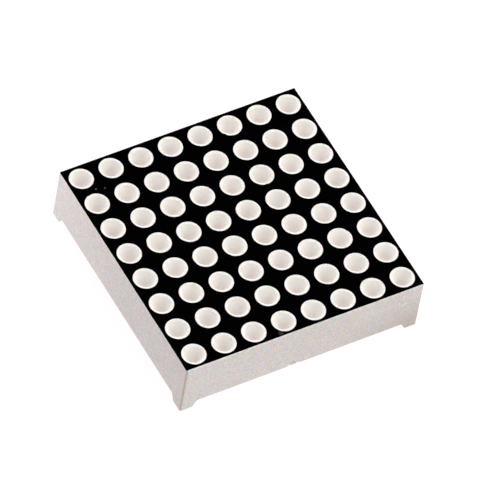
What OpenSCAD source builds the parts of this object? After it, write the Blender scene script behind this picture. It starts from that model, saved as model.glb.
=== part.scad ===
// LED dot matrix display module, 8 by 8 dots, for soldering to a board.
// Millimetres. The origin is the centre of the plane that the four feet stand on.
// +Z points out of the black face, +X runs along the front edge and +Y to the back.

/* [Dots] */
// Distance between the centres of neighbouring dots
dot_pitch = 4; // [3.7:0.1:5]
// Diameter of the round window over each dot in the black coat
window_d = 3; // [2.8:0.05:3.2]
// Diameter of a light cup at the face
cup_mouth_d = 2.6; // [2.2:0.05:2.7]
// Diameter of a light cup at its bottom
cup_base_d = 2; // [1.8:0.05:2.1]
// Depth of the hollow in the middle of a dot, where the resin shrank
dot_sag = 0.07; // [0.02:0.01:0.15]

/* [Case] */
// Gap between the cases when modules are tiled at the dot pitch
tiling_gap = 0.1; // [0.05:0.05:0.4]
// Height of the case, from the feet to the black face
case_h = 7.8; // [6.5:0.1:10]
// Thickness of the side walls round the circuit board
wall_t = 0.9; // [0.7:0.05:1.05]
// Radius of the upright outer corners
corner_r = 0.25; // [0.2:0.05:0.8]
// Radius of the upright inner corners and of the circuit board's corners
inner_corner_r = 0.3; // [0.2:0.05:1]
// Radius of the rounding along the top edges
edge_r = 0.15; // [0.1:0.05:0.2]
// Width of the flat bare border between the black coat and the rounded edges
coat_margin = 0; // [0:0.05:0.3]
// Thickness of the black coat
coat_t = 0.03; // [0.02:0.01:0.1]

/* [Feet] */
// Height of the corner feet under the wall's lower edge
foot_h = 1; // [0.5:0.1:1.5]
// Length of a foot along the wall, at its bottom
foot_w = 1.6; // [1.2:0.1:3]
// How much longer a foot is where it meets the wall
foot_slope = 0.6; // [0.2:0.1:1.5]

/* [Gate mark] */
// Place of the moulding gate along the front wall
gate_x = -0.8; // [-8:0.1:8]
// Diameter of the recess round the gate
gate_recess_d = 1.8; // [1:0.1:2.5]
// Depth of the recess round the gate
gate_recess_depth = 0.12; // [0.05:0.01:0.3]
// Diameter of the trimmed gate stub
gate_stub_d = 0.7; // [0.4:0.1:0.9]
// How far the trimmed stub ends below the wall's face
gate_stub_drop = 0.04; // [0.02:0.01:0.04]

/* [Circuit board] */
// Thickness of the board
board_t = 1.2; // [0.8:0.1:1.6]
// Gap between the board's edge and the wall
board_gap = 0.15; // [0.1:0.05:0.3]
// How deep the board's back face lies above the wall's lower edge
board_recess = 0.3; // [0.1:0.1:1]
// Height of the resin layer between the board and the cups
layer_gap = 0.3; // [0.25:0.05:0.6]
// Diameter of the spacers that hold the board off the cups
spacer_d = 1.2; // [0.8:0.1:1.6]
// How far below the board's back face the resin stops beside the board
resin_step = 0.2; // [0.1:0.05:0.6]

/* [Copper] */
// Thickness of the copper
copper_t = 0.035; // [0.018:0.001:0.07]
// Width of the tracks on the back and of the links
track_w = 0.25; // [0.2:0.05:0.3]
// Least gap between a track and the copper of another net
track_gap = 0.25; // [0.2:0.05:0.3]
// Width of the row strips that the chips sit on
strip_w = 0.5; // [0.4:0.05:0.55]
// Diameter of the pad at the far end of a bond wire
bond_pad_d = 0.5; // [0.4:0.05:0.55]
// Diameter of the plated-through hole in a bond pad
via_d = 0.3; // [0.2:0.05:0.35]
// Diameter of the ring round each pin hole
pin_pad_d = 1.4; // [1.2:0.05:1.5]
// Thickness of the plating in a pin hole
plating_t = 0.05; // [0.03:0.01:0.08]

/* [LED chips] */
// Side of a chip
chip_w = 0.25; // [0.2:0.01:0.35]
// Height of a chip
chip_h = 0.2; // [0.15:0.01:0.25]
// Distance from the cup's centre to the chip's centre
chip_offset = 0.25; // [0.2:0.05:0.35]
// Distance from the cup's centre to the bond pad's centre
bond_offset = 0.45; // [0.4:0.05:0.5]
// Diameter of a bond wire
wire_d = 0.03; // [0.02:0.005:0.04]
// Height of a bond wire's loop over the line between its ends
loop_h = 0.28; // [0.2:0.01:0.32]
// Diameter of the ball and the stitch that end a bond wire
bond_d = 0.09; // [0.07:0.01:0.12]
// Height of the ball and of the stitch
bond_h = 0.03; // [0.02:0.005:0.05]

/* [Pins] */
// Diameter of a pin
pin_d = 0.5; // [0.4:0.05:0.55]
// Distance between neighbouring pins in a row
pin_pitch = 2.54; // [2.4:0.01:2.6]
// How far the pins reach below the feet
pin_len = 4; // [2.5:0.1:6]
// Bevel on the pin's tip
pin_bevel = 0.1; // [0.05:0.01:0.15]
// Diameter of the swelling that holds a pin in its hole
pin_swell_d = 0.6; // [0.6:0.02:0.66]
// Diameter of a pin's head, on the chip side of the board
pin_head_d = 1; // [0.9:0.05:1.1]
// Height of a pin's head
pin_head_h = 0.15; // [0.1:0.01:0.18]
// Diameter of the plated pin holes
pin_hole_d = 0.8; // [0.76:0.01:0.86]
// Height of the solder fillet round a pin
solder_h = 0.6; // [0.4:0.05:0.8]
// Thickness of the solder where it ends on the pin
solder_lip = 0.03; // [0.02:0.01:0.06]
// Bare width of the ring that the solder leaves round itself
solder_margin = 0.06; // [0.02:0.01:0.1]
// Depth of the hollow in the side of a solder fillet
solder_hollow = 0.1; // [0.05:0.01:0.14]

/* [Hidden] */
// Dots along a side of the grid, and pins in a row
dots = 8;
pins_per_row = 8;
// How far a cut reaches past the face that it opens
over = 0.5;
// Points of a track closer than this are one point
same_point = 0.001;
// Sides of a circle, and of a bond wire's section
$fn = 48;
wire_sides = 16;

// Grid, counted from 0 to last
last = dots - 1;
mid = last / 2;
function dot_x(i) = (i - mid) * dot_pitch;

// Case
case_side = dots * dot_pitch - tiling_gap;
case_half = case_side / 2;
plastic_top = case_h - coat_t;
cavity_half = case_half - wall_t;
coat_half = case_half - edge_r - coat_margin;

// Board and the layers over it
board_back = foot_h + board_recess;
board_front = board_back + board_t;
board_half = cavity_half - board_gap;
cup_floor = board_front + layer_gap;
resin_low = board_back + resin_step;
// The spacers stand midway between dots, three and two steps from the middle
spacer_xy = [3, 2] * dot_pitch;
copper_back = board_back - copper_t;
copper_front = board_front + copper_t;

// Radius of a light cup at a height
cup_taper = (cup_mouth_d - cup_base_d) / 2 / (plastic_top - cup_floor);
function cup_r(z) = cup_base_d / 2 + (z - cup_floor) * cup_taper;
// Radius of the sphere that hollows a dot
sag_r = (pow(cup_mouth_d / 2, 2) + pow(dot_sag, 2)) / (2 * dot_sag);

// Pins stand midway between the outer two rows of dots
pin_row_y = (mid - 0.5) * dot_pitch;
function pin_x(k) = (k + 0.5) * pin_pitch;
swell_low = copper_back - solder_h;
ring_r = pin_pad_d / 2;
barrel_d = pin_hole_d + 2 * plating_t;

// A bond wire is an arc over the line from the chip's top to the bond pad
wire_span = chip_offset + bond_offset;
wire_tilt = atan2(chip_h, wire_span);
wire_chord = norm([wire_span, chip_h]);
wire_half_angle = 2 * atan(2 * loop_h / wire_chord);
wire_r = (pow(wire_chord / 2, 2) + pow(loop_h, 2)) / (2 * loop_h);
wire_drop = wire_r - loop_h;

// Each net has its pin: [sign along X, place from the middle, sign along Y]
function row_pin(r) =
    [[1, 1, -1], [-1, 1, -1], [-1, 2, 1], [1, 2, 1], [-1, 1, 1], [1, 1, 1], [-1, 0, 1], [1, 0, 1]][r];
function col_out(i) = abs(i - mid) - 0.5;
function col_side(i) = sign(i - mid);
function col_pin(i) =
    col_out(i) == 0 ? [col_side(i), 0, -1]
    : col_out(i) == 1 ? [col_side(i), 2, -1]
    : [col_side(i), 3, col_out(i) == 2 ? -1 : 1];
function pin_at(p) = [p[0] * pin_x(p[1]), p[2] * pin_row_y];

// Where a column's track crosses the pin rows: between two pins, or outside the last one
track_step = track_w + track_gap;
outside = pin_x(pins_per_row / 2 - 1) + ring_r + track_gap + track_w / 2;
function lane_x(i) =
    col_side(i) * (
        col_out(i) < 2 ? (col_out(i) + 1) * pin_pitch
        : max(abs(dot_x(i)), outside + (col_out(i) - 2) * track_step));
function strip_y(r) = dot_x(r) + chip_offset;
function bond_y(r) = dot_x(r) - bond_offset;

// ---- Shapes used more than once ----

// A square plate with round corners, from z0 to z1
module plate(half, r, z0, z1) {
    translate([0, 0, z0])
        linear_extrude(z1 - z0)
            union() {
                square([2 * half, 2 * (half - r)], center = true);
                square([2 * (half - r), 2 * half], center = true);
                for (x = [-1, 1], y = [-1, 1])
                    translate([x * (half - r), y * (half - r)])
                        circle(r = r);
            }
}

// The case's outline from the side, with rounded top edges, extended across the case
module rounded_bar() {
    rotate([90, 0, 0])
        linear_extrude(2 * case_side, center = true)
            union() {
                translate([-case_half, 0])
                    square([case_side, plastic_top - edge_r]);
                translate([edge_r - case_half, 0])
                    square([case_side - 2 * edge_r, plastic_top]);
                for (x = [-1, 1])
                    translate([x * (case_half - edge_r), plastic_top - edge_r])
                        circle(r = edge_r);
            }
}

// The open stretch between two feet, cut right across the case
module foot_gap() {
    gap = case_half - foot_w;
    rotate([90, 0, 0])
        linear_extrude(2 * case_side, center = true)
            polygon([
                [-gap - foot_slope * over / foot_h, -over],
                [gap + foot_slope * over / foot_h, -over],
                [gap - foot_slope, foot_h],
                [foot_slope - gap, foot_h]
            ]);
}

// One copy of the children at every dot
module at_dots() {
    for (i = [0:last], r = [0:last])
        translate([dot_x(i), dot_x(r), 0])
            children();
}

// A flat track through the points, with round ends
module track(points, w) {
    for (n = [0:len(points) - 2]) {
        a = points[n];
        b = points[n + 1];
        if (norm(b - a) > same_point)
            translate(a)
                rotate(atan2(b[1] - a[1], b[0] - a[0]))
                    translate([0, -w / 2])
                        square([norm(b - a), w]);
        translate(a)
            circle(d = w);
        translate(b)
            circle(d = w);
    }
}

// A flat copper shape on the board's back face, under it
module on_back() {
    translate([0, 0, copper_back])
        linear_extrude(copper_t)
            children();
}

// A flat copper shape on the board's front face, where the chips sit
module on_front() {
    translate([0, 0, board_front])
        linear_extrude(copper_t)
            children();
}

// A filled plated hole that joins the back copper to the front copper
module via(p) {
    translate([p[0], p[1], copper_back])
        cylinder(h = copper_front - copper_back, d = via_d);
}

// The rings on both faces round a pin hole, and the plating that joins them
module pin_land(p) {
    translate([p[0], p[1], copper_back])
        difference() {
            union() {
                cylinder(h = copper_t, d = pin_pad_d);
                cylinder(h = copper_front - copper_back, d = barrel_d);
                translate([0, 0, copper_front - copper_back - copper_t])
                    cylinder(h = copper_t, d = pin_pad_d);
            }
            translate([0, 0, -over])
                cylinder(h = copper_front - copper_back + 2 * over, d = pin_hole_d);
        }
}

// The hole that a pin needs in the copper it passes
module pin_clear(p) {
    translate([p[0], p[1], copper_back - over])
        cylinder(h = copper_front - copper_back + 2 * over, d = pin_hole_d);
}

// ---- Copper, one net at a time ----

function row_is_linked_in_front(r) = r < 2 || r > last - 2;
function row_lane(r) = row_pin(r)[0] * row_pin(r)[1] * dot_pitch;
function row_way(r) = sign(strip_y(r) - pin_at(row_pin(r))[1]);
function row_bend(r) = abs(row_lane(r) - pin_at(row_pin(r))[0]);

// From a row's pin at 45 degrees to the lane between two columns, then along it to the strip
function row_path(r) = [
    pin_at(row_pin(r)),
    [row_lane(r), pin_at(row_pin(r))[1] + row_way(r) * row_bend(r)],
    [row_lane(r), strip_y(r)]
];

// How far from a pin row a column's track bends: at 45 degrees, or at the pad if that is nearer
function bend(i, to_pad) =
    let (turn = ring_r + abs(lane_x(i) - dot_x(i)))
    turn > to_pad - bond_pad_d / 2 ? to_pad : turn;

// A column's track steps aside at a pin row
function step_aside(i, side) = [
    [dot_x(i), side * pin_row_y - bend(i, dot_pitch / 2 + bond_offset)],
    [lane_x(i), side * pin_row_y - ring_r],
    [lane_x(i), side * pin_row_y + ring_r],
    [dot_x(i), side * pin_row_y + bend(i, dot_pitch / 2 - bond_offset)]
];
function column_path(i) =
    concat([[dot_x(i), bond_y(0)]], step_aside(i, -1), step_aside(i, 1), [[dot_x(i), bond_y(last)]]);
function column_is_linked_in_front(i) = col_out(i) == 3;
function column_link(i) = [[lane_x(i), col_pin(i)[2] * pin_row_y], pin_at(col_pin(i))];

// Every filled plated hole of the board
function row_vias(r) = row_is_linked_in_front(r) ? [] : [[row_lane(r), strip_y(r)]];
function column_vias(i) =
    concat(
        [for (r = [0:last]) [dot_x(i), bond_y(r)]],
        column_is_linked_in_front(i) ? [column_link(i)[0]] : []);

// A row's strip under its chips, with the link to its pin if that runs on this face
module row_front_copper(r) {
    track([[dot_x(0), strip_y(r)], [dot_x(last), strip_y(r)]], strip_w);
    if (row_is_linked_in_front(r))
        track(row_path(r), track_w);
}

module row_back_copper(r) {
    if (!row_is_linked_in_front(r))
        track(row_path(r), track_w);
}

// A column's bond pads, with the link to its pin if that runs on this face
module column_front_copper(i) {
    for (r = [0:last])
        translate([dot_x(i), bond_y(r)])
            circle(d = bond_pad_d);
    if (column_is_linked_in_front(i)) {
        track(column_link(i), track_w);
        translate(column_link(i)[0])
            circle(d = bond_pad_d);
    }
}

module column_back_copper(i) {
    track(column_path(i), track_w);
    for (p = column_vias(i))
        translate(p)
            circle(d = bond_pad_d);
    if (!column_is_linked_in_front(i))
        track(column_link(i), track_w);
}

// The copper of one net: both faces, the holes between them and the land of its pin
module net(pin, vias) {
    color("goldenrod") {
        difference() {
            union() {
                children();
                for (p = vias)
                    via(p);
            }
            pin_clear(pin);
        }
        pin_land(pin);
    }
}

module row_track(r) {
    net(pin_at(row_pin(r)), row_vias(r)) {
        on_front()
            row_front_copper(r);
        if (!row_is_linked_in_front(r))
            on_back()
                row_back_copper(r);
    }
}

module column_track(i) {
    net(pin_at(col_pin(i)), column_vias(i)) {
        on_front()
            column_front_copper(i);
        on_back()
            column_back_copper(i);
    }
}

// ---- The other pieces ----

// One light cup, or a taller stretch of its cone, between two heights
module cup(z0, z1) {
    translate([0, 0, z0])
        cylinder(h = z1 - z0, r1 = cup_r(z0), r2 = cup_r(z1));
}

// Four short posts of the housing, which hold the board off the light cups
module spacers() {
    for (x = [-1, 1], y = [-1, 1])
        translate([x * spacer_xy[0], y * spacer_xy[1], board_front])
            cylinder(h = layer_gap, d = spacer_d);
}

// A shallow round recess at the wall's lower edge, with the gate's trimmed stub in it
module gate_recess() {
    translate([gate_x, gate_recess_depth - case_half, foot_h])
        rotate([90, 0, 0])
            difference() {
                cylinder(h = gate_recess_depth + over, d = gate_recess_d);
                cylinder(h = gate_recess_depth - gate_stub_drop, d = gate_stub_d);
            }
}

// White moulding: the lattice of light cups, the side walls and the four feet
module housing() {
    color("gainsboro") {
        difference() {
            intersection() {
                plate(case_half, corner_r, 0, plastic_top);
                rounded_bar();
                rotate([0, 0, 90])
                    rounded_bar();
            }
            plate(cavity_half, inner_corner_r, -over, cup_floor);
            foot_gap();
            rotate([0, 0, 90])
                foot_gap();
            at_dots()
                cup(cup_floor - over, plastic_top + over);
            gate_recess();
        }
        spacers();
    }
}

// Black coat on the face, with a window over each dot
module face_coat() {
    color("black")
        difference() {
            plate(coat_half, corner_r, plastic_top, case_h);
            at_dots()
                translate([0, 0, plastic_top - over])
                    cylinder(h = coat_t + 2 * over, d = window_d);
        }
}

// The chips of one row, on the row's strip
module chips(r) {
    color("silver")
        for (i = [0:last])
            translate([dot_x(i) - chip_w / 2, strip_y(r) - chip_w / 2, copper_front])
                cube([chip_w, chip_w, chip_h]);
}

// A bond wire runs from the ball on the chip to the stitch on the bond pad
module bond_wire() {
    translate([0, 0, chip_h / 2 + bond_h / 2])
        rotate([90, 0, 90])
            translate([
                wire_drop * sin(wire_tilt) + (chip_offset - bond_offset) / 2,
                -wire_drop * cos(wire_tilt)
            ])
                rotate(90 + wire_tilt - wire_half_angle)
                    rotate_extrude(angle = 2 * wire_half_angle)
                        translate([wire_r, 0])
                            circle(d = wire_d, $fn = wire_sides);
    translate([0, chip_offset, chip_h])
        cylinder(h = bond_h, d = bond_d);
    translate([0, -bond_offset, 0])
        cylinder(h = bond_h, d = bond_d);
}

// The bond wires of one row
module bond_wires(r) {
    color("gold")
        for (i = [0:last])
            translate([dot_x(i), dot_x(r), copper_front])
                bond_wire();
}

// The board without its copper, drilled for the nets' filled holes and the pins' barrels
module circuit_board() {
    color("seagreen")
        difference() {
            plate(board_half, inner_corner_r, board_back, board_front);
            for (r = [0:last], p = row_vias(r))
                via(p);
            for (i = [0:last], p = column_vias(i))
                via(p);
            for (x = [-1, 1], y = [-1, 1], k = [0:pins_per_row / 2 - 1])
                translate([x * pin_x(k), y * pin_row_y, board_back - over])
                    cylinder(h = board_t + 2 * over, d = barrel_d);
        }
}

// A pin from its bevelled tip to the head that lies on the board's front
module pin_shape() {
    pin_r = pin_d / 2;
    swell_r = pin_swell_d / 2;
    head_top = copper_front + pin_head_h;
    rotate_extrude()
        polygon([
            [0, -pin_len],
            [pin_r - pin_bevel, -pin_len],
            [pin_r, pin_bevel - pin_len],
            [pin_r, swell_low + pin_r - swell_r],
            [swell_r, swell_low],
            [swell_r, copper_front],
            [pin_head_d / 2, copper_front],
            [pin_head_d / 2, head_top],
            [0, head_top]
        ]);
}

// Pins 1 to 8 run along the front from the left, and 9 to 16 along the back from the right
function pin_place(n) =
    n <= pins_per_row
        ? [(n - (pins_per_row + 1) / 2) * pin_pitch, -pin_row_y, 0]
        : [((3 * pins_per_row + 1) / 2 - n) * pin_pitch, pin_row_y, 0];

module pin(n) {
    color("lightgray")
        translate(pin_place(n))
            pin_shape();
}

// Solder fills the plated hole and climbs the pin in a hollow fillet
module solder_joint() {
    swell_r = pin_swell_d / 2;
    rim = [ring_r - solder_margin, copper_back];
    lip = [swell_r + solder_lip, swell_low];
    slant = norm(rim - lip);
    hollow_r = (pow(slant / 2, 2) + pow(solder_hollow, 2)) / (2 * solder_hollow);
    outward = [rim[1] - lip[1], lip[0] - rim[0]] / slant;
    centre = (rim + lip) / 2 + outward * (hollow_r - solder_hollow);
    rotate_extrude()
        difference() {
            polygon([
                [swell_r, copper_front],
                [pin_hole_d / 2, copper_front],
                [pin_hole_d / 2, copper_back],
                rim,
                lip,
                [swell_r, swell_low]
            ]);
            translate(centre)
                circle(r = hollow_r);
        }
}

// The solder joints of one row of pins
module solder_row(side) {
    color("silver")
        for (x = [-1, 1], k = [0:pins_per_row / 2 - 1])
            translate([x * pin_x(k), side * pin_row_y, 0])
                solder_joint();
}

// The resin in one cup, hollowed at the top where it shrank as it set
module light_pipe() {
    rotate_extrude()
        difference() {
            polygon([
                [0, cup_floor],
                [cup_base_d / 2, cup_floor],
                [cup_mouth_d / 2, plastic_top],
                [0, plastic_top]
            ]);
            translate([0, plastic_top - dot_sag + sag_r])
                circle(r = sag_r);
        }
}

// Milky resin: 64 light pipes, joined by the layer over the board and down its edges
module resin() {
    color("linen")
        difference() {
            union() {
                plate(cavity_half, inner_corner_r, resin_low, cup_floor);
                at_dots()
                    light_pipe();
            }
            plate(board_half, inner_corner_r, resin_low - over, board_front);
            spacers();
            on_front() {
                for (r = [0:last])
                    row_front_copper(r);
                for (i = [0:last])
                    column_front_copper(i);
            }
            for (n = [1:2 * pins_per_row])
                translate(pin_place(n) + [0, 0, board_front]) {
                    cylinder(h = copper_t, d = pin_pad_d);
                    cylinder(h = copper_t + pin_head_h, d = pin_head_d);
                }
            for (r = [0:last]) {
                chips(r);
                bond_wires(r);
            }
        }
}

housing();
face_coat();
resin();
circuit_board();
row_track(0);  // row_track_1
row_track(1);  // row_track_2
row_track(2);  // row_track_3
row_track(3);  // row_track_4
row_track(4);  // row_track_5
row_track(5);  // row_track_6
row_track(6);  // row_track_7
row_track(7);  // row_track_8
column_track(0);  // column_track_1
column_track(1);  // column_track_2
column_track(2);  // column_track_3
column_track(3);  // column_track_4
column_track(4);  // column_track_5
column_track(5);  // column_track_6
column_track(6);  // column_track_7
column_track(7);  // column_track_8
chips(0);  // chips_row_1
chips(1);  // chips_row_2
chips(2);  // chips_row_3
chips(3);  // chips_row_4
chips(4);  // chips_row_5
chips(5);  // chips_row_6
chips(6);  // chips_row_7
chips(7);  // chips_row_8
bond_wires(0);  // bond_wires_row_1
bond_wires(1);  // bond_wires_row_2
bond_wires(2);  // bond_wires_row_3
bond_wires(3);  // bond_wires_row_4
bond_wires(4);  // bond_wires_row_5
bond_wires(5);  // bond_wires_row_6
bond_wires(6);  // bond_wires_row_7
bond_wires(7);  // bond_wires_row_8
pin(1);  // pin_1
pin(2);  // pin_2
pin(3);  // pin_3
pin(4);  // pin_4
pin(5);  // pin_5
pin(6);  // pin_6
pin(7);  // pin_7
pin(8);  // pin_8
pin(9);  // pin_9
pin(10);  // pin_10
pin(11);  // pin_11
pin(12);  // pin_12
pin(13);  // pin_13
pin(14);  // pin_14
pin(15);  // pin_15
pin(16);  // pin_16
solder_row(-1);  // solder_front_row
solder_row(1);  // solder_back_row
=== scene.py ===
"""Looks of an LED dot matrix display module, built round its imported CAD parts.

Lengths are millimetres in the CAD frame: +Z out of the black face, +X along the front edge,
the origin between the four feet. MM turns them into the scene's metres.
"""

import math
import random

import bmesh
import bpy
from mathutils import Matrix, Vector, noise


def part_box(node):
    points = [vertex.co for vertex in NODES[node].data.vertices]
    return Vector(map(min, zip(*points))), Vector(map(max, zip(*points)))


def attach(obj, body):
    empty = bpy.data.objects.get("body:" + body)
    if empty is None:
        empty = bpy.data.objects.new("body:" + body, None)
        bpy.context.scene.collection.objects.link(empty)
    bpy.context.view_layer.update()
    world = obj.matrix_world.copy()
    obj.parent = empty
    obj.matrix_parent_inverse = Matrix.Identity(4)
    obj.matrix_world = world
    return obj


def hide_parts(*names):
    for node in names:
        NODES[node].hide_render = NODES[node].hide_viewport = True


MM = 0.001
ROOT = "root"

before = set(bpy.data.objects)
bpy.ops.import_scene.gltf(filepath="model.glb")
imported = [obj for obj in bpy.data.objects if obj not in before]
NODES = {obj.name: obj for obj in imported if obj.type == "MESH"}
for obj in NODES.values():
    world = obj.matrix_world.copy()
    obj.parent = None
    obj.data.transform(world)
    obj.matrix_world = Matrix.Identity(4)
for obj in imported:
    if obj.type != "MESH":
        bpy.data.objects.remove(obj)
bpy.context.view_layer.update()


# ---- Sizes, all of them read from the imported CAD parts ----

ROWS = 8
MIDDLE = ROWS // 2
PINS = [f"pin_{n}" for n in range(1, 2 * ROWS + 1)]
TOUCH = 0.01


def box(node):
    """Lowest and highest corner of a CAD node, in millimetres."""
    low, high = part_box(node)
    return low / MM, high / MM


def points(node):
    """The corners of a CAD node's mesh, in millimetres."""
    return [v.co / MM for v in NODES[node].data.vertices]


first_row, last_row = box("chips_row_1"), box("chips_row_8")
PITCH = (last_row[0].y - first_row[0].y) / (ROWS - 1)
LINES = [(n - (ROWS - 1) / 2) * PITCH for n in range(ROWS)]
DOTS = [(x, y) for y in LINES for x in LINES]
GRID_HALF = ROWS * PITCH / 2

case_box, coat_box = box("housing"), box("face_coat")
HALF = case_box[1].x
PLASTIC_Z = case_box[1].z
COAT_HALF = coat_box[1].x
FACE_Z = coat_box[1].z
INK = FACE_Z - PLASTIC_Z
EDGE_R = HALF - COAT_HALF

DOT = Vector((LINES[MIDDLE], LINES[MIDDLE]))
near_dot = [((p.xy - DOT).length, p.z) for p in points("housing") if (p.xy - DOT).length < 0.4 * PITCH]
CUP_FLOOR = min(z for _, z in near_dot)
BASE_R = max(r for r, z in near_dot if z < CUP_FLOOR + TOUCH)
MOUTH_R = max(r for r, z in near_dot if z > PLASTIC_Z - TOUCH)
WINDOW_R = min((p.xy - DOT).length for p in points("face_coat"))
dot_top = [p.z for p in points("resin") if (p.xy - DOT).length < BASE_R and p.z > PLASTIC_Z - 0.3]
SAG = PLASTIC_Z - min(dot_top)

board_box = box("circuit_board")
BOARD_HALF = board_box[1].x
BOARD_FRONT = board_box[1].z
RESIN_LOW = box("resin")[0].z
CAVITY_HALF = max(p.x for p in points("resin") if p.z < RESIN_LOW + TOUCH)
COPPER_BACK, COPPER_FRONT = (corner.z for corner in box("row_track_3"))

PIN_PLACES = [(box(pin)[0].xy + box(pin)[1].xy) / 2 for pin in PINS]
PIN_TIP = box("pin_1")[0].z
HEAD_R = (box("pin_1")[1].x - box("pin_1")[0].x) / 2
HEAD_Z = box("pin_1")[1].z
PIN_ROW_Y = PIN_PLACES[-1].y
PIN_PITCH = PIN_PLACES[1].x - PIN_PLACES[0].x
PIN_END_X = max(place.x for place in PIN_PLACES)
solder_box = box("solder_back_row")
SOLDER_LOW = solder_box[0].z
SOLDER_R = (solder_box[1].y - solder_box[0].y) / 2
PIN_R = min((p.xy - PIN_PLACES[0]).length for p in points("pin_1") if PIN_TIP + 1 < p.z < SOLDER_LOW)
SWELL_R = min((p.xy - PIN_PLACES[-1]).length for p in points("solder_back_row"))
BARREL_R = max(
    (p.xy - PIN_PLACES[0]).length
    for p in points("solder_front_row")
    if p.z > COPPER_FRONT - TOUCH and (p.xy - PIN_PLACES[0]).length < HEAD_R
)
PAD_MARGIN = 0.06
PAD_R = SOLDER_R + PAD_MARGIN

gate_points = [
    p for p in points("housing")
    if 0.02 < p.y + HALF < 0.2 and p.z < BOARD_FRONT and abs(p.x) < GRID_HALF / 2
]
GATE_X = (min(p.x for p in gate_points) + max(p.x for p in gate_points)) / 2
WALL_LOW = min(p.z for p in gate_points)


# ---- Camera, at the height and turn that show the face, the front wall and the left wall ----

AZIMUTH = math.radians(-37.277)
ELEVATION = math.radians(52.097)
ROLL = math.radians(10.945)
LENS = 783.3
SENSOR = 36
DISTANCE = 1.2378
AIM_ACROSS = 0.0434
AIM_UP = -1.667


def add_camera():
    away = Vector((
        math.sin(AZIMUTH) * math.cos(ELEVATION),
        -math.cos(AZIMUTH) * math.cos(ELEVATION),
        math.sin(ELEVATION),
    ))
    level = Vector((math.cos(AZIMUTH), math.sin(AZIMUTH), 0))
    upright = away.cross(level)
    across = math.cos(ROLL) * level + math.sin(ROLL) * upright
    up = math.cos(ROLL) * upright - math.sin(ROLL) * level
    aim = Vector((0, 0, FACE_Z)) + AIM_ACROSS * across + AIM_UP * up
    data = bpy.data.cameras.new("camera")
    data.lens = LENS
    data.sensor_width = SENSOR
    data.clip_start = 0.1
    data.clip_end = 20
    camera = bpy.data.objects.new("camera", data)
    turn = Matrix((across, up, away)).transposed().to_4x4()
    camera.matrix_world = Matrix.Translation(aim * MM + DISTANCE * away) @ turn
    bpy.context.scene.collection.objects.link(camera)
    bpy.context.scene.camera = camera


# ---- Materials ----


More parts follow.
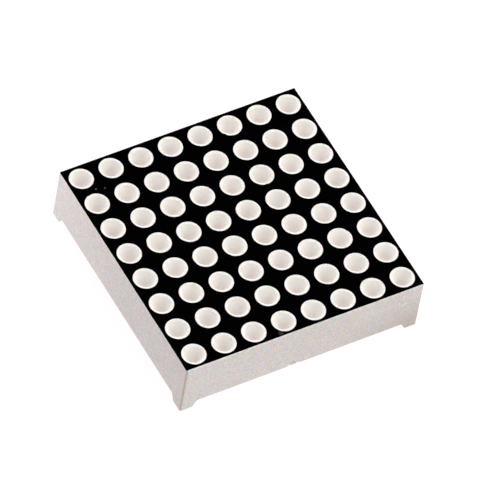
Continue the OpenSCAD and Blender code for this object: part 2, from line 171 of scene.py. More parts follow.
class Look:
    """A node material. Its patterns are laid out in millimetres of the CAD frame."""

    # Blender's mix node repeats the names A, B and Result for each data type, so these are picked by number
    MIX_COLOUR_A, MIX_COLOUR_B, MIX_COLOUR_RESULT = 6, 7, 2

    def __init__(self, name, **constants):
        self.material = bpy.data.materials.new(name)
        self.material.use_nodes = True
        self.tree = self.material.node_tree
        self.shader = self.tree.nodes["Principled BSDF"]
        for socket, value in constants.items():
            self.shader.inputs[socket.replace("_", " ")].default_value = value
        coordinates = self.node("ShaderNodeTexCoord")
        self.place = self.vector("SCALE", coordinates.outputs["Object"], scale=1 / MM)
        split = self.node("ShaderNodeSeparateXYZ")
        self.feed(split.inputs[0], self.place)
        self.x, self.y, self.z = split.outputs
        self.normal = None

    def node(self, kind, **settings):
        made = self.tree.nodes.new(kind)
        for key, value in settings.items():
            setattr(made, key, value)
        return made

    def feed(self, socket, value):
        if isinstance(value, bpy.types.NodeSocket):
            self.tree.links.new(value, socket)
        elif isinstance(value, tuple) and socket.type == "RGBA":
            socket.default_value = (*value, 1)
        else:
            socket.default_value = value

    def calc(self, operation, *values, clamp=False):
        made = self.node("ShaderNodeMath", operation=operation, use_clamp=clamp)
        for socket, value in zip(made.inputs, values):
            self.feed(socket, value)
        return made.outputs[0]

    def vector(self, operation, *values, scale=None):
        made = self.node("ShaderNodeVectorMath", operation=operation)
        for socket, value in zip(made.inputs, values):
            self.feed(socket, value)
        if scale is not None:
            made.inputs["Scale"].default_value = scale
        return made.outputs["Value" if operation in ("LENGTH", "DISTANCE", "DOT_PRODUCT") else "Vector"]

    def stretched(self, x, y, z):
        """The place, squeezed or stretched along the axes."""
        return self.vector("MULTIPLY", self.place, (x, y, z))

    def cloud(self, per_mm, detail=2.0, rough=0.5, place=None, output="Fac"):
        """Soft noise with about per_mm bumps a millimetre."""
        made = self.node("ShaderNodeTexNoise")
        self.feed(made.inputs["Vector"], place or self.place)
        made.inputs["Scale"].default_value = per_mm
        made.inputs["Detail"].default_value = detail
        made.inputs["Roughness"].default_value = rough
        return made.outputs[output]

    def cells(self, per_mm, feature="F1", output="Distance", place=None):
        made = self.node("ShaderNodeTexVoronoi", feature=feature)
        self.feed(made.inputs["Vector"], place or self.place)
        made.inputs["Scale"].default_value = per_mm
        return made.outputs[output]

    def ramp(self, value, start, end):
        """Goes smoothly from 0 at start to 1 at end. Start may be the larger one."""
        made = self.node("ShaderNodeMapRange", interpolation_type="SMOOTHSTEP")
        low, high = min(start, end), max(start, end)
        self.feed(made.inputs["Value"], value)
        made.inputs["From Min"].default_value = low
        made.inputs["From Max"].default_value = high
        made.inputs["To Min"].default_value = 0 if start < end else 1
        made.inputs["To Max"].default_value = 1 if start < end else 0
        return made.outputs["Result"]

    def all_of(self, *shares):
        """The product of several shares."""
        product = shares[0]
        for share in shares[1:]:
            product = self.calc("MULTIPLY", product, share)
        return product

    def blend(self, share, first, second):
        """The first colour where share is 0, the second where it is 1."""
        made = self.node("ShaderNodeMix", data_type="RGBA")
        self.feed(made.inputs["Factor"], share)
        self.feed(made.inputs[self.MIX_COLOUR_A], first)
        self.feed(made.inputs[self.MIX_COLOUR_B], second)
        return made.outputs[self.MIX_COLOUR_RESULT]

    def spot(self, centre, radius, soft):
        """1 within a radius of a place, 0 past its soft border."""
        distance = self.vector("DISTANCE", self.place, centre)
        return self.ramp(distance, radius + soft, radius)

    def stroke(self, start, end, radius, soft):
        """1 along a straight line between two places."""
        start, end = Vector(start), Vector(end)
        line = end - start
        offset = self.vector("SUBTRACT", self.place, tuple(start))
        along = self.vector("DOT_PRODUCT", offset, tuple(line / line.length_squared))
        along = self.calc("ADD", along, 0.0, clamp=True)
        nearest = self.node("ShaderNodeVectorMath", operation="SCALE")
        nearest.inputs[0].default_value = line
        self.feed(nearest.inputs["Scale"], along)
        distance = self.vector("DISTANCE", offset, nearest.outputs["Vector"])
        return self.ramp(distance, radius + soft, radius)

    def bump(self, height, depth, strength=1.0):
        """Raises the surface by up to depth millimetres where height is 1."""
        made = self.node("ShaderNodeBump")
        made.inputs["Strength"].default_value = strength
        made.inputs["Distance"].default_value = depth * MM
        self.feed(made.inputs["Height"], height)
        if self.normal is not None:
            self.feed(made.inputs["Normal"], self.normal)
        self.normal = made.outputs["Normal"]

    def finish(self, colour, roughness=None, metallic=None):
        self.feed(self.shader.inputs["Base Color"], colour)
        if roughness is not None:
            self.feed(self.shader.inputs["Roughness"], roughness)
        if metallic is not None:
            self.feed(self.shader.inputs["Metallic"], metallic)
        if self.normal is not None:
            self.feed(self.shader.inputs["Normal"], self.normal)
        return self.material

    def speckled(self, colour, per_mm, amount):
        """Varies a colour's channels a little, each on its own."""
        pattern = self.cloud(per_mm, 1.5, 0.5, output="Color")
        factor = self.vector("MULTIPLY_ADD", pattern, (2 * amount,) * 3, (1 - amount,) * 3)
        return self.vector("MULTIPLY", colour, factor)

    def spread(self, value, low, high):
        """Maps a 0 to 1 pattern onto low to high."""
        return self.calc("MULTIPLY_ADD", value, high - low, low)

    def from_pin(self):
        """Distance from the axis of the nearest pin, and 1 inside the stretch that has pins."""
        turns = self.calc("FRACT", self.calc("DIVIDE", self.x, PIN_PITCH))
        across = self.calc("MULTIPLY", self.calc("SUBTRACT", turns, 0.5), PIN_PITCH)
        along = self.calc("SUBTRACT", self.calc("ABSOLUTE", self.y), PIN_ROW_Y)
        flat = self.node("ShaderNodeCombineXYZ")
        self.feed(flat.inputs[0], across)
        self.feed(flat.inputs[1], along)
        inside = self.calc("LESS_THAN", self.calc("ABSOLUTE", self.x), PIN_END_X + PIN_PITCH / 2)
        return self.vector("LENGTH", flat.outputs[0]), inside


def white_plastic():
    """White moulding with a fine spark-eroded grain, faint clouding, flecks, a hairline and a scratch from
    handling, painted shadow by the gate stub, and a darker, browner lower right on the front wall.
    """
    look = Look("white_moulding", IOR=1.5)
    front = look.ramp(look.y, -HALF + 0.3, -HALF + 0.05)
    clouding = look.ramp(look.cloud(0.16, 3), 0.35, 0.7)
    colour = look.blend(clouding, (0.828, 0.798, 0.775), (0.803, 0.772, 0.748))
    colour = look.speckled(colour, 1.1, 0.06)
    colour = look.speckled(colour, 7, 0.58)
    pits = look.ramp(look.cloud(7.5, 2, 0.6), 0.35, 0.65)
    colour = look.blend(pits, colour, look.vector("SCALE", colour, scale=0.8))
    # The lower right of the front wall is darker and browner, most towards the bottom and the right end
    darker_lower_right = look.all_of(
        front,
        look.ramp(look.x, 3, HALF + 1),
        look.ramp(look.z, FACE_Z, WALL_LOW - 2),
        look.spread(look.cloud(0.5, 4, 0.6), 0.5, 1.4),
    )
    colour = look.blend(look.all_of(darker_lower_right, 0.75), colour, (0.5, 0.42, 0.38))
    # A darker, reddish-brown line along the near upright corner
    corner = look.vector("MULTIPLY", look.place, (1, 1, 0))
    corner = look.ramp(look.vector("DISTANCE", corner, (-HALF, -HALF, 0)), 0.26, 0.1)
    colour = look.blend(look.all_of(corner, 0.55), colour, (0.42, 0.27, 0.23))
    # Dark spots near the gate, a fine hairline on the left wall and a bright scratch on the front wall. The
    # first two spots are painted shadow on each side of the gate stub. The others are small dark flecks.
    flecks_and_gate_shadows = (
        ((GATE_X - 0.52, -HALF, 1.55), 0.05), ((GATE_X + 0.37, -HALF, 1.5), 0.06),
        ((GATE_X + 1.24, -HALF, 1.52), 0.045), ((GATE_X + 6.1, -HALF, 3.1), 0.04),
        ((-HALF, 6.4, 4.9), 0.04), ((-HALF, -3.2, 2.2), 0.035), ((5.7, -HALF, 6.3), 0.03),
    )
    marks_and_gate_shadows = look.stroke((-HALF, -9.09, 3.16), (-HALF, -9.95, 2.65), 0.02, 0.07)
    marks_and_gate_shadows = look.calc("MAXIMUM", look.all_of(marks_and_gate_shadows, 0.7), look.spot((-HALF, -9.95, 2.65), 0.06, 0.12))
    for centre, radius in flecks_and_gate_shadows:
        marks_and_gate_shadows = look.calc("MAXIMUM", marks_and_gate_shadows, look.spot(centre, radius, 0.07))
    colour = look.blend(look.all_of(marks_and_gate_shadows, 0.5), colour, (0.3, 0.22, 0.18))
    scratch = look.stroke((13.2, -HALF, 5.0), (13.9, -HALF, 5.11), 0.03, 0.07)
    colour = look.blend(scratch, colour, (1, 1, 1))
    grain = look.cloud(9, 3, 0.6)
    look.bump(look.cloud(0.35, 2), 0.03)
    look.bump(grain, 0.006)
    look.bump(look.calc("MAXIMUM", marks_and_gate_shadows, scratch), -0.02)
    roughness = look.spread(look.cloud(1.3, 4, 0.6), 0.42, 0.62)
    return look.finish(colour, roughness)


def black_ink():
    """Matt black ink with a fine tooth, a few flecks of dust and a scuff."""
    look = Look("black_ink", IOR=1.4)
    look.shader.inputs["Specular IOR Level"].default_value = 0.002
    colour = look.blend(look.cloud(2.2, 4, 0.6), (0.0001, 0.0001, 0.0001), (0.0005, 0.0005, 0.0005))
    dust = look.ramp(look.cells(1.1), 0.06, 0.03)
    chosen = look.ramp(look.cloud(0.9, 1), 0.62, 0.66)
    colour = look.blend(look.all_of(dust, chosen, 0.5), colour, (0.05, 0.046, 0.042))
    for centre, radius in (((-13.13, 11.95, FACE_Z), 0.05), ((-12.08, 11.66, FACE_Z), 0.04)):
        colour = look.blend(look.all_of(look.spot(centre, radius, 0.08), 0.6), colour, (0.2, 0.19, 0.18))
    scuff = look.all_of(
        look.spot((-3.14, -15.43, FACE_Z), 0.12, 0.35),
        look.ramp(look.cloud(6, 3), 0.4, 0.65),
    )
    colour = look.blend(look.all_of(scuff, 0.5), colour, (0.12, 0.11, 0.1))
    look.bump(look.cloud(14, 3, 0.6), 0.003)
    return look.finish(colour, look.spread(look.cloud(3, 3), 0.55, 0.75))


def from_dot(look):
    """Share of the way from the nearest dot's centre to its rim, and a random share for that dot."""
    shifted = look.vector("ADD", look.stretched(1 / PITCH, 1 / PITCH, 0), (MIDDLE, MIDDLE, 0))
    whole = look.vector("FLOOR", shifted)
    offset = look.vector("SUBTRACT", look.vector("SUBTRACT", shifted, whole), (0.5, 0.5, 0))
    warp = look.vector("SUBTRACT", look.cloud(0.7, 1, output="Color"), (0.5, 0.5, 0.5))
    offset = look.vector("ADD", offset, look.vector("SCALE", warp, scale=0.09))
    offset = look.vector("MULTIPLY", offset, (PITCH / MOUTH_R, PITCH / MOUTH_R, 0))
    chance = look.node("ShaderNodeTexWhiteNoise", noise_dimensions="3D")
    look.feed(chance.inputs["Vector"], whole)
    return look.vector("LENGTH", offset), chance.outputs["Value"]


def milky_body():
    """Milky resin seen inside a cup: white by the wall, darker and browner with depth. That darkening is
    partly the resin's own brownish tone and partly painted shade for light that fades down the cup.
    """
    look = Look("milky_body", IOR=1.5, Roughness=0.5)
    _, chance = from_dot(look)
    # Darker and browner with depth below the face: partly the resin's tone, partly painted shade
    depth = look.calc("DIVIDE", look.calc("SUBTRACT", PLASTIC_Z, look.z), BOWL_DEPTH)
    deep_tone_and_shade = look.blend(chance, (0.53, 0.455, 0.425), (0.49, 0.418, 0.389))
    colour = look.blend(look.calc("POWER", depth, 1.3, clamp=True), (0.97, 0.945, 0.925), deep_tone_and_shade)
    colour = look.blend(look.all_of(look.cloud(2.5, 3), 0.08), colour, (0.98, 0.95, 0.92))
    look.bump(look.cloud(5, 2), 0.004)
    return look.finish(colour)


def milky_film():
    """The resin's clear-milky skin over a dot."""
    look = Look("milky_film", IOR=1.5, Alpha=0.1)
    share, chance = from_dot(look)
    colour = look.blend(look.all_of(look.ramp(share, 0.9, 0.2), look.spread(chance, 0.5, 1.0)),
                        (0.95, 0.92, 0.89), (0.9, 0.85, 0.81))
    look.bump(look.cloud(1.2, 2), 0.01)
    return look.finish(colour, look.spread(look.cloud(2, 2), 0.15, 0.3))


def weave(look):
    """The print of glass fibre through solder mask."""
    warp = look.node("ShaderNodeTexWave", wave_type="BANDS", bands_direction="X")
    weft = look.node("ShaderNodeTexWave", wave_type="BANDS", bands_direction="Y")
    for wave in (warp, weft):
        look.feed(wave.inputs["Vector"], look.place)
        wave.inputs["Scale"].default_value = 0.6
        wave.inputs["Distortion"].default_value = 0.8
        wave.inputs["Detail Scale"].default_value = 0.5
    return look.calc("MULTIPLY", warp.outputs["Fac"], weft.outputs["Fac"])


def board_mask():
    """Glossy green solder mask over glass fibre, with amber flux round the joints."""
    look = Look("solder_mask", IOR=1.5)
    fibre = weave(look)
    colour = look.blend(fibre, (0.012, 0.1, 0.04), (0.02, 0.135, 0.055))
    colour = look.blend(look.all_of(look.cloud(0.4, 4, 0.6), 0.4), colour, (0.03, 0.16, 0.06))
    reach, inside = look.from_pin()
    flux = look.all_of(
        inside,
        look.ramp(look.calc("ADD", reach, look.spread(look.cloud(1.5, 3), -0.4, 0.4)), 1.35, 0.8),
    )
    colour = look.blend(look.all_of(flux, 0.35), colour, (0.16, 0.13, 0.03))
    # The board's bare edges show yellowish glass fibre
    side = look.calc("MAXIMUM", look.calc("ABSOLUTE", look.x), look.calc("ABSOLUTE", look.y))
    bare = look.ramp(side, BOARD_HALF - 0.02, BOARD_HALF - 0.005)
    colour = look.blend(bare, colour, (0.42, 0.4, 0.2))
    look.bump(fibre, 0.008)
    look.bump(look.cloud(2.5, 3), 0.004)
    return look.finish(colour, look.spread(flux, 0.28, 0.12))


def track_copper():
    """Copper under green mask, bare and tinned where the solder joins it."""
    look = Look("masked_copper", IOR=1.5)
    reach, inside = look.from_pin()
    bare = look.all_of(inside, look.ramp(reach, PAD_R + 0.02, PAD_R))
    masked = look.blend(look.cloud(1.2, 4, 0.6), (0.028, 0.2, 0.075), (0.04, 0.25, 0.1))
    tin = look.blend(look.cloud(4, 3), (0.62, 0.61, 0.58), (0.72, 0.71, 0.68))
    look.bump(look.cloud(3, 3), 0.006)
    return look.finish(look.blend(bare, masked, tin), look.spread(bare, 0.25, 0.33), bare)


def tinned_pin():
    """Drawn wire, tinned: fine streaks along it, a sheared tip and a duller end."""
    look = Look("tinned_wire")
    streaks = look.cloud(1.0, 4, 0.6, look.stretched(14, 14, 0.8))
    colour = look.blend(streaks, (0.66, 0.65, 0.62), (0.8, 0.795, 0.775))
    tip = look.ramp(look.z, PIN_TIP + 0.14, PIN_TIP + 0.08)
    colour = look.blend(look.all_of(tip, 0.5), colour, (0.5, 0.36, 0.26))
    dull = look.ramp(look.cloud(0.8, 3), 0.5, 0.75)
    colour = look.blend(look.all_of(dull, 0.3), colour, (0.45, 0.44, 0.42))
    look.bump(streaks, 0.006)
    return look.finish(colour, look.spread(dull, 0.22, 0.42), 1.0)


def bright_solder():
    """Reflowed solder: bright, with frosted patches and a trace of flux at the rim."""
    look = Look("reflowed_solder")
    frost = look.ramp(look.cloud(2.4, 4, 0.65), 0.4, 0.7)
    colour = look.blend(frost, (0.76, 0.76, 0.77), (0.6, 0.6, 0.6))
    rim = look.ramp(look.z, COPPER_BACK - 0.1, COPPER_BACK)
    colour = look.blend(look.all_of(rim, 0.45), colour, (0.4, 0.33, 0.18))
    look.bump(look.cloud(6, 3), 0.008)
    return look.finish(colour, look.spread(frost, 0.16, 0.4), look.spread(rim, 1.0, 0.7))


def sawn_chip():
    """An LED chip: sawn sides, a clean top."""
    look = Look("sawn_chip", IOR=2.2)
    saw = look.cloud(1.0, 3, 0.6, look.stretched(6, 6, 60))
    colour = look.blend(saw, (0.42, 0.36, 0.26), (0.6, 0.54, 0.42))
    look.bump(saw, 0.004)
    return look.finish(colour, look.spread(saw, 0.3, 0.5))


def gold_wire():
    """Drawn gold wire."""
    look = Look("drawn_gold")
    colour = look.blend(look.cloud(12, 3), (0.9, 0.62, 0.22), (1.0, 0.78, 0.36))
    look.bump(look.cloud(40, 2), 0.001)
    return look.finish(colour, look.spread(look.cloud(20, 2), 0.18, 0.3), 1.0)


# ---- Mesh helpers ----


def ring(bm, corners):
    return [bm.verts.new(corner) for corner in corners]


def join(bm, first, second):
    """A strip of faces between two closed rings with as many corners."""
    for k in range(len(first)):
        bm.faces.new((first[k - 1], first[k], second[k], second[k - 1]))


def cap(bm, rim, centre):
    """A fan of faces from a ring to a point."""
    middle = bm.verts.new(centre)
    for k in range(len(rim)):
        bm.faces.new((rim[k - 1], rim[k], middle))


def circle(centre, radius, z, sides):
    """Corners of a circle. The radius may be a function of the angle."""
    corners = []
    for k in range(sides):
        angle = 2 * math.pi * k / sides
        r = radius(angle) if callable(radius) else radius
        corners.append((centre[0] + r * math.cos(angle), centre[1] + r * math.sin(angle), z))
    return corners


def cell_border(centre, sides):
    """Points on the border of a dot's square cell, which the neighbouring cells share."""
    corners = []
    for k in range(sides):
        angle = 2 * math.pi * k / sides
        c, s = math.cos(angle), math.sin(angle)
        reach = PITCH / 2 / max(abs(c), abs(s))
        corners.append((centre[0] + reach * c, centre[1] + reach * s))
    return corners


def weld(bm):
    bmesh.ops.remove_doubles(bm, verts=bm.verts, dist=0.0005)


def piece_from(bm, name, material, replaced=(), sharp=40):
    """Turns a mesh in millimetres into a piece of the object."""
    bmesh.ops.recalc_face_normals(bm, faces=bm.faces)
    for face in bm.faces:
        face.smooth = True
    for edge in bm.edges:
        edge.smooth = not (edge.is_manifold and edge.calc_face_angle() > math.radians(sharp))
    bmesh.ops.scale(bm, vec=(MM, MM, MM), verts=bm.verts)
    mesh = bpy.data.meshes.new(name)
    bm.to_mesh(mesh)
    bm.free()
    mesh.materials.append(material)
    piece = bpy.data.objects.new(name, mesh)
    bpy.context.scene.collection.objects.link(piece)
    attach(piece, ROOT)
    if replaced:
        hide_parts(*replaced)
    return piece


def unevenness(x, y, z=0.0):
    """Smooth noise between about -1 and 1."""
    return noise.noise(Vector((x, y, z)))


# ---- The black print ----

# How far inside the case's sides the ink ends, at the low and at the high end of each side
INK_ENDS = {"left": (0.025, 0.06), "right": (0.006, 0.13), "front": (0.13, 0.08), "back": (0.004, 0.02)}
INK_GROWTH = 0.01
PRINT_SIDES = 128
# Points this near the coat's edge move onto it
BORDER_REACH = 0.2
# How much of its reach round the edges the ink keeps at the case's corners
CORNER_SHARE = 0.6
# How much of its thickness the ink loses where the rounding ends
EDGE_THINNING = 0.65
# The rim of a window: how far the lip and the start of the flat ink lie outside its foot
LIP_OUT, FLAT_OUT, LIP_HEIGHT = 0.004, 0.03, 0.6
# Nibs of ink that reach into a window: dot's column, dot's row, angle, size
NIBS = (
    (5, 7, -140, 0.09), (5, 5, -95, 0.08), (6, 2, 30, 0.06), (1, 4, 160, 0.05),
    (3, 1, -60, 0.05), (0, 6, 100, 0.06), (7, 5, 10, 0.05), (2, 3, -170, 0.045),
)


def plastic_top(x, y):
    """Height of the case's top, which is rounded along its edges."""
    past = max(abs(x), abs(y)) - COAT_HALF
    return PLASTIC_Z if past <= 0 else PLASTIC_Z - EDGE_R + math.sqrt(EDGE_R ** 2 - past ** 2)


def shoulder(end):
    """Half the way round the rounded edge, from where it starts to where the ink ends."""
    past = max(0, end - COAT_HALF)
    return COAT_HALF + EDGE_R * math.sin(math.asin(past / EDGE_R) / 2)


def ink_end(side, along):
    """How far from the middle the ink ends on one side of the case."""
    low_end, high_end = INK_ENDS[side]
    share = (along + HALF) / (2 * HALF)
    seed = 100 * high_end
    waves = 0.014 * unevenness(along * 0.5, seed) + 0.006 * unevenness(along * 4, seed)
    return min(HALF - 0.002, HALF - low_end - share * (high_end - low_end) + waves)


def to_print_outline(x, y):
    """Moves a point of a cell's border in to the print's outline, where the cell reaches past it."""

    def limited(value, along, low, high):
        end = ink_end(high if value > 0 else low, along)
        if abs(value) > GRID_HALF - TOUCH:
            return math.copysign(end, value)
        if abs(value) > COAT_HALF:
            return math.copysign(shoulder(end), value)
        if abs(value) > COAT_HALF - BORDER_REACH:
            return math.copysign(COAT_HALF, value)
        return value

    new_x = limited(x, y, "left", "right")
    new_y = limited(y, x, "front", "back")
    if abs(new_x) > COAT_HALF and abs(new_y) > COAT_HALF:
        new_x = math.copysign(COAT_HALF + CORNER_SHARE * (abs(new_x) - COAT_HALF), x)
        new_y = math.copysign(COAT_HALF + CORNER_SHARE * (abs(new_y) - COAT_HALF), y)
    return new_x, new_y


def window_edge(column, row):
    """Radius of one window at an angle: a printed edge that is slightly uneven, here and there with a nib."""
    nibs = [(math.radians(a), size) for c, r, a, size in NIBS if (c, r) == (column, row)]

    def radius(angle):
        c, s = math.cos(angle), math.sin(angle)
        r = WINDOW_R - INK_GROWTH + 0.012 * unevenness(2 * c + 9 * column, 2 * s + 7 * row)
        r += 0.006 * unevenness(9 * c + 5 * row, 9 * s + 3 * column, 4.0)
        for middle, size in nibs:
            turn = (angle - middle + math.pi) % (2 * math.pi) - math.pi
            r -= size * math.exp(-(turn / 0.1) ** 2)
        return r

    return radius


def ink_depth(x, y):
    """Thickness of the ink, which thins out round the case's edge."""
    past = max(abs(x), abs(y)) - COAT_HALF
    return INK if past <= 0 else INK * (1 - EDGE_THINNING * past / EDGE_R)


def ink_spoke(start, end):
    """Three points of a line from a window's rim to its cell's border, which follow the case's rounding."""
    rounding = COAT_HALF + TOUCH / 10
    past = [i for i in (0, 1) if abs(end[i]) > rounding > abs(start[i])]
    if not past:
        return [tuple(s + share * (e - s) for s, e in zip(start, end)) for share in (0.4, 0.75, 1)]
    shares = []
    for i in past:
        whole = abs(end[i]) - abs(start[i])
        shares.append([(stop - abs(start[i])) / whole for stop in (COAT_HALF, shoulder(abs(end[i])))])
    return [tuple(s + share * (e - s) for s, e in zip(start, end)) for share in (*min(shares), 1)]


def face_print():
    """The ink as one thin closed shell with 64 windows, which laps over the rounded top edges."""
    bm = bmesh.new()
    for row, y in enumerate(LINES):
        for column, x in enumerate(LINES):
            radius = window_edge(column, row)
            foot = circle((x, y), radius, PLASTIC_Z, PRINT_SIDES)
            lip = circle((x, y), lambda a: radius(a) + LIP_OUT, PLASTIC_Z + LIP_HEIGHT * INK, PRINT_SIDES)
            flat = circle((x, y), lambda a: radius(a) + FLAT_OUT, FACE_Z, PRINT_SIDES)
            border = [to_print_outline(*p) for p in cell_border((x, y), PRINT_SIDES)]
            spokes = [ink_spoke(start[:2], end) for start, end in zip(flat, border)]
            top = [foot, lip, flat]
            low = [foot]
            for step in range(3):
                places = [spoke[step] for spoke in spokes]
                top.append([(px, py, plastic_top(px, py) + ink_depth(px, py)) for px, py in places])
                low.append([(px, py, plastic_top(px, py)) for px, py in places])
            top = [ring(bm, corners) for corners in top]
            low = [top[0]] + [ring(bm, corners) for corners in low[1:]]
            for rings in (top, low):
                for first, second in zip(rings, rings[1:]):
                    join(bm, first, second)
    weld(bm)
    bmesh.ops.bridge_loops(bm, edges=[edge for edge in bm.edges if edge.is_boundary])
    return bm


# ---- The resin ----

DOT_SIDES = 40
FILM = 0.03
# Gaps that keep the cast resin clear of its skin and of the cup's wall
SKIN_GAP, WALL_GAP = 0.005, 0.003
# The bowl seen in each dot: its depth, how square it is, and the flat shoulder round it
BOWL_DEPTH = 1.3
BOWL_POWER = 2.4
SHOULDER = 0.09
SHOULDER_STEP = 0.002
CORNER_CUT = 0.088
MENISCUS = 0.07


def skin_height(share, sag):
    """Height of a dot's surface: hollow in the middle, and drawn up a little at the cup's wall."""
    return PLASTIC_Z - sag * (1 - share ** 2) - 0.1 * sag * math.sin(math.pi * share) ** 2


def resin_skins():
    """The clear-milky skin of each dot, a thin hollowed lens."""
    bm = bmesh.new()
    rng = random.Random(11)
    shares = (0.18, 0.4, 0.6, 0.78, 0.92)
    for x, y in DOTS:
        sag = SAG * rng.uniform(0.75, 1.0)
        rim = ring(bm, circle((x, y), MOUTH_R, PLASTIC_Z, DOT_SIDES))
        for drop in (0, FILM):
            rings = [ring(bm, circle((x, y), share * MOUTH_R, skin_height(share, sag) - drop, DOT_SIDES))
                     for share in shares]
            for first, second in zip(rings, rings[1:] + [rim]):
                join(bm, first, second)
            cap(bm, rings[0], (x, y, skin_height(0, sag) - drop))
    return bm


def to_square(x, y, half):
    """Moves a point in to a square with slightly rounded corners."""
    x = max(-half, min(half, x))
    y = max(-half, min(half, y))
    if abs(x) == half and abs(y) == half:
        x -= math.copysign(CORNER_CUT, x)
        y -= math.copysign(CORNER_CUT, y)
    return x, y


def extrude_outline(bm, move):
    """Adds a strip along the mesh's open outline, with its far side moved."""
    edges = [edge for edge in bm.edges if edge.is_boundary]
    made = bmesh.ops.extrude_edge_only(bm, edges=edges)["geom"]
    for vert in (item for item in made if isinstance(item, bmesh.types.BMVert)):
        vert.co = move(vert.co)


def resin_body():
    """The cast resin under the skins: bowls, cones, the layer over the board and the rim round it."""
    bm = bmesh.new()
    bowl_top = PLASTIC_Z - FILM - SKIN_GAP
    bowl_r = MOUTH_R - SHOULDER
    shares = (0.16, 0.34, 0.52, 0.68, 0.82, 0.93, 1)
    for x, y in DOTS:
        rim = ring(bm, circle((x, y), MOUTH_R - WALL_GAP, bowl_top, DOT_SIDES))
        bowl = []
        for share in shares:
            z = bowl_top - BOWL_DEPTH * (1 - share ** BOWL_POWER) - SHOULDER_STEP
            bowl.append(ring(bm, circle((x, y), share * bowl_r, z, DOT_SIDES)))
        cap(bm, bowl[0], (x, y, bowl_top - BOWL_DEPTH))
        for first, second in zip(bowl, bowl[1:] + [rim]):
            join(bm, first, second)
        base = ring(bm, circle((x, y), BASE_R, CUP_FLOOR, DOT_SIDES))
        join(bm, rim, base)
        border = [(*to_square(*p, CAVITY_HALF), CUP_FLOOR) for p in cell_border((x, y), DOT_SIDES)]
        join(bm, base, ring(bm, border))
    weld(bm)
    between = (CAVITY_HALF + BOARD_HALF) / 2
    extrude_outline(bm, lambda p: Vector((p.x, p.y, RESIN_LOW)))
    extrude_outline(bm, lambda p: Vector((*to_square(p.x, p.y, between), RESIN_LOW + MENISCUS)))
    extrude_outline(bm, lambda p: Vector((*to_square(p.x, p.y, BOARD_HALF), RESIN_LOW)))
    extrude_outline(bm, lambda p: Vector((p.x, p.y, COPPER_FRONT)))
    weld(bm)
    outline = [edge for edge in bm.edges if edge.is_boundary]
    bmesh.ops.triangle_fill(bm, use_beauty=True, edges=outline)
    return bm


def pockets():
    """Room in the resin for the chips and wires, and for the pins' heads."""
    bm = bmesh.new()
    loop_top = box("bond_wires_row_1")[1].z
    spaces = [(dot, 0.8 * BASE_R, loop_top + 0.05) for dot in DOTS]
    spaces += [(place, HEAD_R + 0.01, HEAD_Z + 0.01) for place in PIN_PLACES]
    for centre, radius, top in spaces:
        low = ring(bm, circle(centre, radius, BOARD_FRONT, DOT_SIDES // 2))
        high = ring(bm, circle(centre, radius, top, DOT_SIDES // 2))
        join(bm, low, high)
        bm.faces.new(high)
        bm.faces.new(low)
    bmesh.ops.recalc_face_normals(bm, faces=bm.faces)
    bmesh.ops.scale(bm, vec=(MM, MM, MM), verts=bm.verts)
    mesh = bpy.data.meshes.new("pockets")
    bm.to_mesh(mesh)
    bm.free()
    cutter = bpy.data.objects.new("pockets", mesh)
    bpy.context.scene.collection.objects.link(cutter)
    return cutter


def cut(piece, cutter):
    """Takes the cutter's space out of the piece for good."""
    modifier = piece.modifiers.new("cut", "BOOLEAN")
    modifier.operation = "DIFFERENCE"
    modifier.solver = "EXACT"
    modifier.object = cutter
    evaluated = piece.evaluated_get(bpy.context.evaluated_depsgraph_get())
    mesh = bpy.data.meshes.new_from_object(evaluated)
    piece.modifiers.remove(modifier)
    piece.data = mesh
    bpy.data.objects.remove(cutter)


# ---- Solder joints ----

JOINT_SIDES = 32


def solder_joints(places, seed):
    """Hollow fillets of solder, each with its own wetting: some climb further, some lean."""
    bm = bmesh.new()
    rng = random.Random(seed)
    for place in places:
        phase, lean, climb = rng.uniform(0, 9), rng.uniform(0, 0.05), rng.uniform(-0.05, 0)
        toward = rng.uniform(0, 2 * math.pi)

        def outer(share):
            """A ring of the fillet's outside, from the rim at 0 to the lip at 1."""
            corners = []
            for k in range(JOINT_SIDES):
                angle = 2 * math.pi * k / JOINT_SIDES
                c, s = math.cos(angle), math.sin(angle)
                wave = unevenness(2.2 * c + phase, 2.2 * s, share * 2)
                side = lean * math.cos(angle - toward)
                rim_r = SOLDER_R - 0.025 + 0.02 * wave
                lip_r = SWELL_R + 0.02
                hollow = math.sin(math.pi * share) * (0.09 + 0.02 * wave)
                r = rim_r + (lip_r - rim_r) * share - hollow
                top = SOLDER_LOW + 0.05 + side - climb
                z = COPPER_BACK + (top - COPPER_BACK) * share
                corners.append((place[0] + r * c, place[1] + r * s, z))
            return corners

        rings = [ring(bm, outer(share)) for share in (0, 0.12, 0.27, 0.42, 0.57, 0.72, 0.86, 1)]
        inner_low = ring(bm, circle(place, PIN_R + 0.01, SOLDER_LOW + 0.1, JOINT_SIDES))
        inner_high = ring(bm, circle(place, SWELL_R, COPPER_FRONT, JOINT_SIDES))
        barrel_high = ring(bm, circle(place, BARREL_R, COPPER_FRONT, JOINT_SIDES))
        barrel_low = ring(bm, circle(place, BARREL_R, COPPER_BACK, JOINT_SIDES))
        loop = rings + [inner_low, inner_high, barrel_high, barrel_low, rings[0]]
        for first, second in zip(loop, loop[1:]):
            join(bm, first, second)
    return bm


# ---- The broken end of the moulding gate ----

STUB_R = 0.35
# How far inside the wall's face the torn end starts
NUB_FLOOR = 0.045


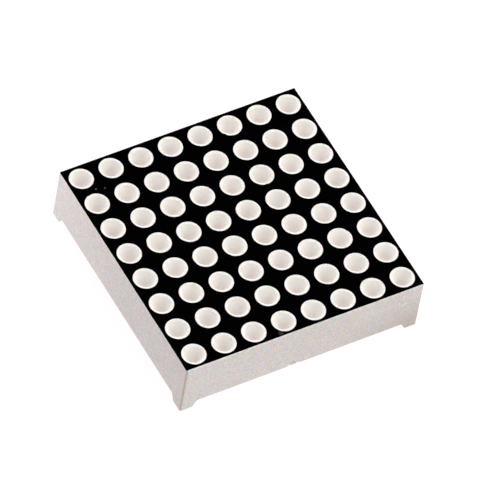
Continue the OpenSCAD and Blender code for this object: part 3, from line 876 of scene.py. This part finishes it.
def gate_nub():
    """A torn, uneven end on the trimmed gate stub, which stays below the wall's face."""
    bm = bmesh.new()
    floor_y = -HALF + NUB_FLOOR
    sides, turns = 18, 5
    rows = []
    for j in range(turns + 1):
        share = j / turns
        arc = []
        for k in range(sides + 1):
            angle = math.pi * k / sides
            r = share * (STUB_R - 0.02 + 0.02 * unevenness(3 * math.cos(angle), 3 * math.sin(angle)))
            x, z = GATE_X + r * math.cos(angle), WALL_LOW + 0.01 + r * math.sin(angle)
            torn = 0.5 + 0.5 * unevenness(6 * x, 6 * z, 2.0)
            height = (0.008 + 0.034 * torn) * (1 - share ** 4)
            arc.append((x, floor_y - height, z))
        rows.append(arc)
    front = [ring(bm, arc) for arc in rows]
    for first, second in zip(front, front[1:]):
        for k in range(sides):
            bm.faces.new((first[k], first[k + 1], second[k + 1], second[k]))
    weld(bm)
    outline = [edge for edge in bm.edges if edge.is_boundary]
    made = bmesh.ops.extrude_edge_only(bm, edges=outline)["geom"]
    for vert in (item for item in made if isinstance(item, bmesh.types.BMVert)):
        vert.co.y = floor_y + 0.01
    outline = [edge for edge in bm.edges if edge.is_boundary]
    bmesh.ops.triangle_fill(bm, use_beauty=True, edges=outline)
    return bm


# ---- Stage ----


def add_floor():
    look = Look("pale_floor", IOR=1.45, Roughness=0.9)
    look.shader.inputs["Emission Color"].default_value = (1, 0.925, 0.95, 1)
    look.shader.inputs["Emission Strength"].default_value = 1.05
    look.shader.inputs["Specular IOR Level"].default_value = 0
    material = look.finish(look.blend(look.cloud(0.02, 3), (0.06, 0.06, 0.06), (0.08, 0.08, 0.08)))
    half = 3.0
    mesh = bpy.data.meshes.new("floor")
    z = PIN_TIP * MM
    corners = [(-half, -half, z), (half, -half, z), (half, half, z), (-half, half, z)]
    mesh.from_pydata(corners, [], [(0, 1, 2, 3)])
    mesh.materials.append(material)
    floor = bpy.data.objects.new("floor", mesh)
    bpy.context.scene.collection.objects.link(floor)


def add_softbox(name, place, aim, size, power, colour=(1, 1, 1)):
    """A square area light. Places and its size are in metres, its power in watts."""
    data = bpy.data.lights.new(name, "AREA")
    data.shape = "SQUARE"
    data.size = size
    data.energy = power
    data.color = colour
    lamp = bpy.data.objects.new(name, data)
    direction = Vector(aim) - Vector(place)
    turn = direction.to_track_quat("-Z", "Y").to_matrix().to_4x4()
    lamp.matrix_world = Matrix.Translation(Vector(place)) @ turn
    bpy.context.scene.collection.objects.link(lamp)


def add_lights():
    """A ring of soft lights, and a small one low on the left. The pale floor lights the walls from below."""
    world = bpy.data.worlds.new("studio")
    world.use_nodes = True
    world.node_tree.nodes["Background"].inputs["Strength"].default_value = 0
    bpy.context.scene.world = world
    middle = (0, 0, 0)
    add_softbox("overhead", (0, 0, 0.6), middle, 0.3, 1.1)
    add_softbox("front", (0, -0.4, 0.45), middle, 0.3, 1.42, (0.97, 1, 0.91))
    add_softbox("left", (-0.4, 0, 0.45), middle, 0.3, 0.3)
    add_softbox("back", (0, 0.4, 0.45), middle, 0.3, 1.84)
    add_softbox("right", (0.4, 0, 0.45), middle, 0.3, 1.5)
    add_softbox("low_left", (-0.045, 0.03, -0.002), (-0.016, 0.016, 0.003), 0.01, 0.0046)


# ---- Everything together ----

add_camera()
add_floor()
add_lights()

plastic = white_plastic()
body_resin = milky_body()
solder = bright_solder()

node_looks = {"housing": plastic, "circuit_board": board_mask()}
copper, pin_metal, chip, gold = track_copper(), tinned_pin(), sawn_chip(), gold_wire()
for node in NODES:
    if "track" in node:
        node_looks[node] = copper
    elif node.startswith("pin_"):
        node_looks[node] = pin_metal
    elif node.startswith("chips"):
        node_looks[node] = chip
    elif node.startswith("bond"):
        node_looks[node] = gold
for node, material in node_looks.items():
    NODES[node].data.materials[0] = material

piece_from(face_print(), "face_print", black_ink(), ["face_coat"])
cast = piece_from(resin_body(), "resin_cast", body_resin, ["resin"])
cut(cast, pockets())
piece_from(resin_skins(), "resin_skins", milky_film(), ["resin"])
for side, seed in (("front", 5), ("back", 8)):
    places = [p for p in PIN_PLACES if (p.y < 0) == (side == "front")]
    joints = solder_joints(places, seed)
    piece_from(joints, f"solder_joints_{side}", solder, [f"solder_{side}_row"])
piece_from(gate_nub(), "gate_nub", plastic)

bpy.context.scene.view_settings.view_transform = "Standard"
